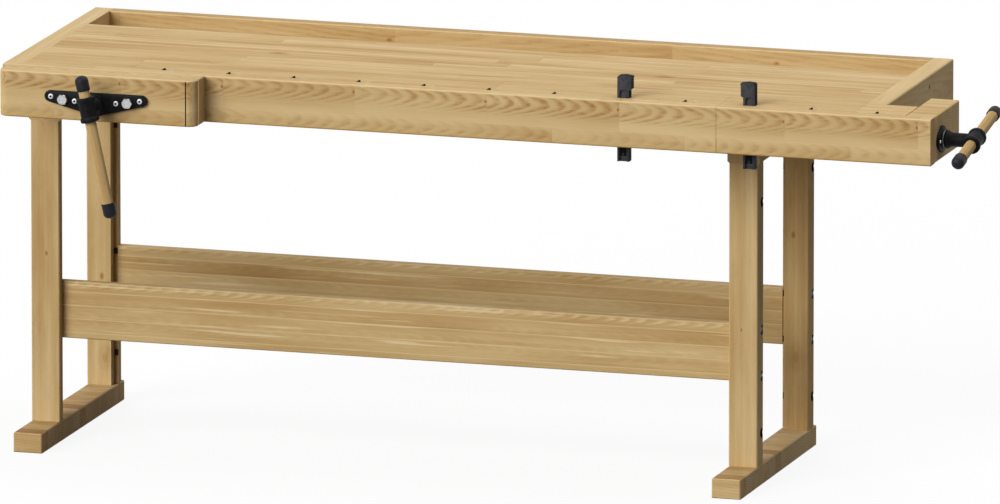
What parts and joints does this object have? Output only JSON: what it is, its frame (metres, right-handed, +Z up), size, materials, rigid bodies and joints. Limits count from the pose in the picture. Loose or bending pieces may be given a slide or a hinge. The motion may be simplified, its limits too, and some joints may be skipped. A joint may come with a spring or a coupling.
{
  "type": "woodworking bench",
  "caption": "Joiner's workbench of beech with a front vise, a sliding tail vise, a row of dog holes with steel dogs, and a sunk tool tray on trestle legs.",
  "frame": {"origin": "on the floor under the middle of the whole bench's box, handles and dogs included", "axes": "+X along the bench towards the tail vise, +Y from the front apron to the tool tray, +Z up"},
  "size_m": [2.151, 0.785, 0.909],
  "materials": {
    "pale_beech": "oiled",
    "warm_beech": "oiled",
    "leg_beech": "oiled",
    "handle_beech": "oiled",
    "black_iron": "satin",
    "black_plastic": "matte",
    "zinc_steel": "zinc plated",
    "plain_steel": "bright drawn",
    "dog_steel": "blued"
  },
  "bodies": {
    "bench": {"apron_board": "pale_beech", "dog_hole_board": "pale_beech", "left_end_cap": "pale_beech", "right_end_cap": "pale_beech", "back_rail": "pale_beech", "top_slab": "warm_beech", "tray_front_rail": "warm_beech", "tray_floor": "warm_beech", "cross_bearer": "warm_beech", "tail_guide_block": "warm_beech", "front_stretcher": "warm_beech", "back_stretcher": "warm_beech", "left_foot": "leg_beech", "left_top_rail": "leg_beech", "left_front_leg": "leg_beech", "left_back_leg": "leg_beech", "right_foot": "leg_beech", "right_top_rail": "leg_beech", "right_front_leg": "leg_beech", "right_back_leg": "leg_beech", "left_front_upper_bolt": "zinc_steel", "left_front_lower_bolt": "zinc_steel", "left_back_upper_bolt": "zinc_steel", "left_back_lower_bolt": "zinc_steel", "right_front_upper_bolt": "zinc_steel", "right_front_lower_bolt": "zinc_steel", "right_back_upper_bolt": "zinc_steel", "right_back_lower_bolt": "zinc_steel", "left_front_foot_barrel_nut": "plain_steel", "left_front_top_barrel_nut": "plain_steel", "left_back_foot_barrel_nut": "plain_steel", "left_back_top_barrel_nut": "plain_steel", "right_front_foot_barrel_nut": "plain_steel", "right_front_top_barrel_nut": "plain_steel", "right_back_foot_barrel_nut": "plain_steel", "right_back_top_barrel_nut": "plain_steel", "front_nut_plate": "black_iron", "tail_nut_block": "black_iron"},
    "front_jaw": {"front_jaw": "pale_beech", "front_vise_plate": "black_iron", "front_left_guide_rod": "zinc_steel", "front_right_guide_rod": "zinc_steel"},
    "front_screw": {"front_spindle": "black_iron"},
    "front_handle": {"front_handle_bar": "handle_beech", "front_handle_upper_cap": "black_plastic", "front_handle_lower_cap": "black_plastic"},
    "tail_vise": {"tail_front_board": "pale_beech", "tail_dog_board": "pale_beech", "tail_end_block": "pale_beech", "tail_flange": "black_iron", "tail_front_guide_rod": "plain_steel", "tail_back_guide_rod": "plain_steel"},
    "tail_screw": {"tail_spindle": "black_iron"},
    "tail_handle": {"tail_handle_bar": "handle_beech", "tail_handle_back_cap": "black_plastic", "tail_handle_front_cap": "black_plastic"},
    "left_dog": {"left_bench_dog": "dog_steel", "left_dog_spring": "plain_steel"},
    "right_dog": {"right_bench_dog": "dog_steel", "right_dog_spring": "plain_steel"}
  },
  "joints": [
    {"name": "front_screw_turn", "type": "hinge", "parent": "front_jaw", "child": "front_screw", "pos_m": [-0.84, -0.31255, 0.798], "axis": [0, -1, 0], "range_deg": [0, 7200]},
    {"name": "front_jaw_slide", "type": "slide", "parent": "bench", "child": "front_jaw", "axis": [0, -1, 0], "range_m": [0, 0.12]},
    {"name": "front_handle_slide", "type": "slide", "parent": "front_screw", "child": "front_handle", "axis": [-0.2147, 0, 0.9767], "range_m": [-0.0138, 0.1778]},
    {"name": "tail_screw_turn", "type": "hinge", "parent": "tail_vise", "child": "tail_screw", "pos_m": [0.9825, -0.16745, 0.804], "axis": [1, 0, 0], "range_deg": [0, 7200]},
    {"name": "tail_vise_slide", "type": "slide", "parent": "bench", "child": "tail_vise", "axis": [1, 0, 0], "range_m": [0, 0.12]},
    {"name": "tail_handle_slide", "type": "slide", "parent": "tail_screw", "child": "tail_handle", "axis": [0, 0.9833, 0.1822], "range_m": [-0.1153, 0.0763]},
    {"name": "left_dog_slide", "type": "slide", "parent": "bench", "child": "left_dog", "axis": [0, 0, 1], "range_m": [-0.0155, 0.1]},
    {"name": "right_dog_slide", "type": "slide", "parent": "tail_vise", "child": "right_dog", "axis": [0, 0, 1], "range_m": [-0.0155, 0.1]}
  ],
  "couplings": [
    {"joint": "front_jaw_slide", "follows": "front_screw_turn", "m_per_rad": 0.00095493},
    {"joint": "tail_vise_slide", "follows": "tail_screw_turn", "m_per_rad": 0.00095493}
  ]
}
